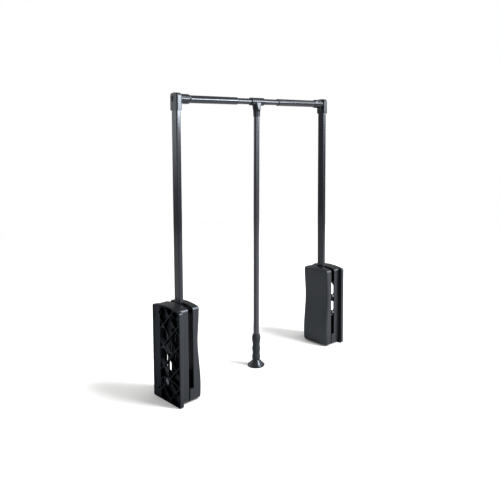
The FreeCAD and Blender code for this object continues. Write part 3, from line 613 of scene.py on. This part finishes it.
def as_object(name: str, mesh: bmesh.types.BMesh) -> bpy.types.Object:
    """Make an object of a mesh under construction, which is freed.

    Args:
        name: the name of the object and of its mesh.
        mesh: the mesh under construction.

    Returns:
        The new object, linked to the scene.
    """
    data = bpy.data.meshes.new(name)
    mesh.to_mesh(data)
    mesh.free()
    made = bpy.data.objects.new(name, data)
    bpy.context.scene.collection.objects.link(made)
    return made


def applied(thing: bpy.types.Object) -> bpy.types.Mesh:
    """Mesh of an object with its modifiers applied."""
    graph = bpy.context.evaluated_depsgraph_get()
    return bpy.data.meshes.new_from_object(thing.evaluated_get(graph), depsgraph=graph)


def joined(name: str, parts: list[tuple[bpy.types.Mesh, Matrix]],
           edge_angle: float = 35.0) -> bpy.types.Object:
    """Join meshes into one object, smooth where its faces meet gently.

    Args:
        name: the object's name.
        parts: each mesh with its place.
        edge_angle: the angle between two faces, in degrees, from which their edge is sharp.

    Returns:
        The new object.
    """
    whole = bmesh.new()
    for mesh, place in parts:
        copy = mesh.copy()
        copy.transform(place)
        whole.from_mesh(copy)
        bpy.data.meshes.remove(copy)
    sharp_from = math.radians(edge_angle)
    for edge in whole.edges:
        edge.smooth = len(edge.link_faces) == 2 and edge.calc_face_angle(math.pi) < sharp_from
    for face in whole.faces:
        face.smooth = True
    return as_object(name, whole)


# ---------------------------------------------------------------- screws
@dataclass
class PanScrew:
    """Pan-head screw with a cross recess, its head's top at the origin and its shank along +Z.

    The crown and the shoulder are shares of the head's radius, the dome and the recess's depth of its
    height, the recess's reach and half width of its diameter, and the tip of the shank's radius. At
    its floor the recess has only the share recess_taper of its reach.
    """

    head_diameter: float
    head_height: float
    shank_diameter: float
    length: float
    crown: float = 0.6
    shoulder: float = 0.72
    dome: float = 0.62
    tip: float = 0.25
    recess_reach: float = 0.27
    recess_half_width: float = 0.055
    recess_depth: float = 0.8
    recess_taper: float = 0.45
    segments: int = 48
    dome_steps: int = 8

    def outline(self) -> list[tuple[float, float]]:
        """Draw the screw's profile, from the crown to the tip.

        Returns:
            Radius and height of each point.
        """
        radius, height, shank = self.head_diameter / 2, self.head_height, self.shank_diameter / 2
        points = [(0.0, 0.0)]
        for step in range(1, self.dome_steps + 1):
            turn = QUARTER_TURN * step / self.dome_steps
            swell = self.shoulder + (1 - self.shoulder) * math.sin(turn)
            share = self.crown if step == 1 else swell
            points.append((radius * share, height * self.dome * (1 - math.cos(turn))))
        points += [(radius, height), (shank, height), (shank, self.length - shank)]
        return points + [(shank * self.tip, self.length), (0.0, self.length)]

    def turned(self) -> bmesh.types.BMesh:
        """Turn the profile about Z.

        Returns:
            Closed mesh of the screw without its recess.
        """
        made = bmesh.new()
        rings = [ring(made, radius, height, self.segments if radius else 1)
                 for radius, height in self.outline()]
        for upper, lower in zip(rings, rings[1:]):
            for k in range(self.segments):
                corners = ((upper, k), (upper, k + 1), (lower, k + 1), (lower, k))
                points = [around[place % len(around)] for around, place in corners]
                made.faces.new(list(dict.fromkeys(points)))
        bmesh.ops.recalc_face_normals(made, faces=made.faces)
        return made

    def recess_bar(self, turn: float) -> bmesh.types.BMesh:
        """Shape the tapered bar that cuts one stroke of the cross.

        Args:
            turn: the stroke's direction, as an angle about Z.

        Returns:
            Closed mesh of the bar.
        """
        made = bmesh.new()
        bar = bmesh.ops.create_cube(made, size=2.0)["verts"]
        reach = self.head_diameter * self.recess_reach
        half_width = self.head_diameter * self.recess_half_width
        depth = self.head_height * self.recess_depth
        for vert in bar:
            share = self.recess_taper if vert.co.z > 0 else 1.0
            vert.co *= Vector((reach * share, half_width, depth))
        bmesh.ops.rotate(made, verts=bar, matrix=Matrix.Rotation(turn, 3, "Z"))
        return made

    def mesh(self, name: str) -> bpy.types.Mesh:
        """Build the whole screw, with its recess cut.

        Args:
            name: the mesh's name.

        Returns:
            Mesh of the whole screw.
        """
        body = as_object(name, self.turned())
        for turn in (0.0, QUARTER_TURN):
            tool = as_object(name + "_cutter", self.recess_bar(turn))
            cut = body.modifiers.new("recess", "BOOLEAN")
            cut.operation, cut.solver, cut.object = "DIFFERENCE", "EXACT", tool
            body.data = applied(body)
            body.modifiers.clear()
            bpy.data.objects.remove(tool)
        made = body.data
        bpy.data.objects.remove(body)
        return made


@dataclass
class SideScrews:
    """What the screws of one side share: the paint shop, their side and their sizes."""

    shop: PaintShop
    side: Side
    head_diameter: float
    head_height: float
    shank_diameter: float = 4.0 * MM

    def screw(self, name: str, length: float) -> bpy.types.Mesh:
        """Mesh of one screw of this length."""
        return PanScrew(self.head_diameter, self.head_height, self.shank_diameter, length).mesh(name)


@dataclass
class CoverScrews(SideScrews):
    """Three screws that hold a housing's cover: two at the foot and a long one at the back."""

    head_diameter: float = 7.5 * MM
    head_height: float = 2.8 * MM

    def build(self) -> bpy.types.Object:
        """Build the set in place of its node.

        Returns:
            The new piece.
        """
        node = self.side.node("cover_screws")
        low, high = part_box(node)
        spacer_low, spacer_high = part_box(self.side.node("cover_spacer"))
        inset = self.head_diameter / 2
        long_y = (spacer_low.y + spacer_high.y) / 2
        places = [(low.y + inset, low.z + inset), (high.y - inset, low.z + inset), (long_y, high.z - inset)]
        mesh = self.screw(node, high.x - low.x)
        face_x = low.x if self.side is Side.LEFT else high.x
        turn = Matrix.Rotation(-self.side.value * QUARTER_TURN, 4, "Y")
        parts = [(mesh, Matrix.Translation((face_x, y, z)) @ turn) for y, z in places]
        piece = joined(self.side.node("cover_screw_set"), parts)
        self.shop.finish_piece(piece, "zinc_plated_steel")
        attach(piece, self.side.node("housing"))
        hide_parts(node)
        return piece


@dataclass
class ElbowScrew(SideScrews):
    """Screw at the back of an elbow, which holds the arm in it."""

    head_diameter: float = 7.0 * MM
    head_height: float = 2.4 * MM

    def build(self) -> bpy.types.Object:
        """Build the screw in place of its node.

        Returns:
            The new piece.
        """
        node = self.side.node("elbow_screw")
        low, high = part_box(node)
        centre = (low + high) / 2
        mesh = self.screw(node, high.y - low.y)
        place = Matrix.Translation((centre.x, high.y, centre.z)) @ Matrix.Rotation(QUARTER_TURN, 4, "X")
        piece = joined(self.side.node("elbow_pan_screw"), [(mesh, place)])
        self.shop.finish_piece(piece, "black_screw")
        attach(piece, self.side.node("arm"))
        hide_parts(node)
        return piece


# ---------------------------------------------------------------- studio
@dataclass(frozen=True)
class Glow:
    """Soft-edged bright part of the surroundings.

    Angles are in degrees, azimuths from +X towards +Y, low and high above the horizon.
    """

    azimuth: float
    half_width: float
    low: float
    high: float
    radiance: float
    edge: float = 8.0

    def field(self, shader: Shader, direction: Field) -> Field:
        """Radiance of this part in a direction.

        Args:
            shader: the world's shader.
            direction: unit vector that looks outwards.

        Returns:
            Field of the radiance.
        """
        x, y, z = (shader.part(direction, axis) for axis in Axis)
        radiance: Number = self.radiance
        if self.half_width < ALL_ROUND:
            turn = math.radians(self.azimuth)
            across = (x * math.cos(turn) + y * math.sin(turn)) / (x * x + y * y) ** 0.5
            outer = math.cos(math.radians(self.half_width + self.edge))
            inner = math.cos(math.radians(max(self.half_width - self.edge, 0.0)))
            radiance = shader.step(across, outer, inner) * radiance
        if self.low > -OVERHEAD:
            radiance = self._risen(shader, z, self.low) * radiance
        if self.high < OVERHEAD:
            radiance = (1 - self._risen(shader, z, self.high)) * radiance
        return radiance

    def _risen(self, shader: Shader, height: Field, elevation: float) -> Field:
        """Soft step from 0 under an elevation to 1 over it."""
        edges = (math.sin(math.radians(elevation + side * self.edge)) for side in (-1, 1))
        return shader.step(height, *edges)


GLOWS: dict[str, Glow] = {
    "behind": Glow(azimuth=113.0, half_width=23.0, low=-3.5, high=50.0, radiance=2.4, edge=4.0),
    "low_front": Glow(azimuth=255.0, half_width=50.0, low=-5.0, high=13.0, radiance=3.6, edge=4.0),
    "front_strip": Glow(azimuth=275.0, half_width=7.0, low=0.5, high=15.0, radiance=9.0, edge=2.0),
    "front_right_strip": Glow(azimuth=322.0, half_width=9.0, low=0.0, high=24.0, radiance=5.0, edge=3.0),
    "right_panel": Glow(azimuth=341.0, half_width=18.0, low=6.0, high=36.0, radiance=4.0, edge=4.0),
    "ceiling": Glow(azimuth=0.0, half_width=ALL_ROUND, low=55.0, high=OVERHEAD, radiance=0.7),
}


@dataclass
class SoftPanel:
    """Rectangular lamp that the camera doesn't see, in metres and watts."""

    name: str
    width: float
    height: float
    energy: float
    place: Vector
    target: Vector
    lights_matt: bool = True

    def hang(self) -> bpy.types.Object:
        """Hang the panel at its place, facing its target.

        Returns:
            The new light.
        """
        light = bpy.data.lights.new(self.name, "AREA")
        light.shape = "RECTANGLE"
        light.size, light.size_y = self.width, self.height
        light.energy = self.energy
        panel = bpy.data.objects.new(self.name, light)
        bpy.context.scene.collection.objects.link(panel)
        panel.visible_camera = False
        panel.visible_diffuse = self.lights_matt
        panel.location = self.place
        panel.rotation_mode = "QUATERNION"
        panel.rotation_quaternion = (self.target - self.place).to_track_quat("-Z", "Y")
        return panel


@dataclass
class StudioCamera:
    """Camera in front on the left, a little lower than the rail, looking slightly down.

    Angles are in degrees: heading to the right of +Y, pitch below level, and roll. The focal length
    is in pixels of a square frame that is frame_pixels wide.
    """

    place: tuple[float, float, float] = (-1.2715, -1.3073, 0.7647)
    heading: float = 43.429
    pitch: float = 4.644
    roll: float = -0.289
    focal_pixels: float = 582.348
    frame_pixels: float = 500.0
    sensor_width: float = 36.0
    shift_y: float = -0.15

    def set_up(self) -> None:
        """Put the camera in its place and make it the scene's."""
        data = bpy.data.cameras.new("camera")
        data.sensor_width = self.sensor_width
        data.lens = self.sensor_width * self.focal_pixels / self.frame_pixels
        data.shift_y = self.shift_y
        camera = bpy.data.objects.new("camera", data)
        bpy.context.scene.collection.objects.link(camera)
        camera.location = self.place
        turns = ((-self.heading, "Z"), (90 - self.pitch, "X"), (self.roll, "Z"))
        heading, pitch, roll = (Matrix.Rotation(math.radians(angle), 3, axis) for angle, axis in turns)
        camera.rotation_euler = (heading @ pitch @ roll).to_euler()
        bpy.context.scene.camera = camera


@dataclass
class Studio:
    """Pale round floor, white surroundings, two soft panels in front on the right and the camera."""

    floor_radius: float = 2.8
    floor_sides: int = 128
    floor_shade: float = 0.72
    floor_tint: Rgb = (1.0, 0.995, 0.99)
    brink_y: float = -0.15
    fall: float = 0.075
    fall_length: float = 0.7
    ambient: float = 0.5
    backdrop: float = 1.0
    gamma: float = 0.85

    def floor(self) -> None:
        """Lay the pale floor, which falls away in front so that the lowered rail clears it."""
        made = bmesh.new()
        made.faces.new(ring(made, self.floor_radius, 0.0, self.floor_sides))
        for brink in (self.brink_y, self.brink_y - self.fall_length):
            bmesh.ops.bisect_plane(made, geom=[*made.verts, *made.edges, *made.faces],
                                   plane_co=(0.0, brink, 0.0), plane_no=(0.0, 1.0, 0.0))
        for vert in made.verts:
            share = (self.brink_y - vert.co.y) / self.fall_length
            vert.co.z = -self.fall * min(max(share, 0.0), 1.0)
        floor = as_object("floor", made)
        paint = bpy.data.materials.new("floor_paint")
        paint.use_nodes = True
        shader = Shader(paint.node_tree)
        colour = opaque(tinted(self.floor_tint, self.floor_shade))
        skin = shader.node("ShaderNodeBsdfDiffuse", {}, {"Color": colour})
        shader.node("ShaderNodeOutputMaterial", {}, {"Surface": skin})
        floor.data.materials.append(paint)

    def surroundings(self) -> None:
        """White to the camera; to everything else, soft glows over a dim room."""
        world = bpy.data.worlds.new("studio")
        world.use_nodes = True
        bpy.context.scene.world = world
        shader = Shader(world.node_tree)
        direction = shader.node("ShaderNodeTexCoord", output="Generated")
        light: Number = self.ambient
        for glow in GLOWS.values():
            light = light + glow.field(shader, direction)
        seen = shader.node("ShaderNodeLightPath", output="Is Camera Ray")
        strength = light * (1 - seen) + seen * self.backdrop
        sky = shader.node("ShaderNodeBackground", {}, {"Color": opaque(WHITE), "Strength": strength})
        shader.node("ShaderNodeOutputWorld", {}, {"Surface": sky})

    def panels(self) -> None:
        """Hang the panel that draws the bright line on the rail, and the one that lights from above."""
        key = SoftPanel("key_panel", width=1.4, height=0.8, energy=112.0,
                        place=Vector((1.70, -2.46, 1.24)), target=Vector((0.0, 0.0, 0.6)), lights_matt=False)
        high = SoftPanel("high_panel", width=1.0, height=1.0, energy=215.0,
                         place=Vector((1.1, -2.3, 3.0)), target=Vector((0.0, 0.0, 0.1)))
        for panel in (key, high):
            panel.hang()

    def build(self) -> None:
        """Set up the whole studio."""
        self.floor()
        self.surroundings()
        self.panels()
        StudioCamera().set_up()
        bpy.context.scene.view_settings.view_transform = "Standard"
        bpy.context.scene.view_settings.gamma = self.gamma


def main() -> None:
    """Build the studio, the finishes and the new pieces, in that order."""
    logging.basicConfig(level=logging.INFO, format="%(message)s")
    Studio().build()
    shop = PaintShop()
    shop.dress_nodes(frame["nodes"])
    for side in Side:
        for maker in (CoverScrews(shop, side), ElbowScrew(shop, side)):
            piece = maker.build()
            LOG.info("piece %s: %d faces", piece.name, len(piece.data.polygons))


if __name__ == "__main__":
    main()
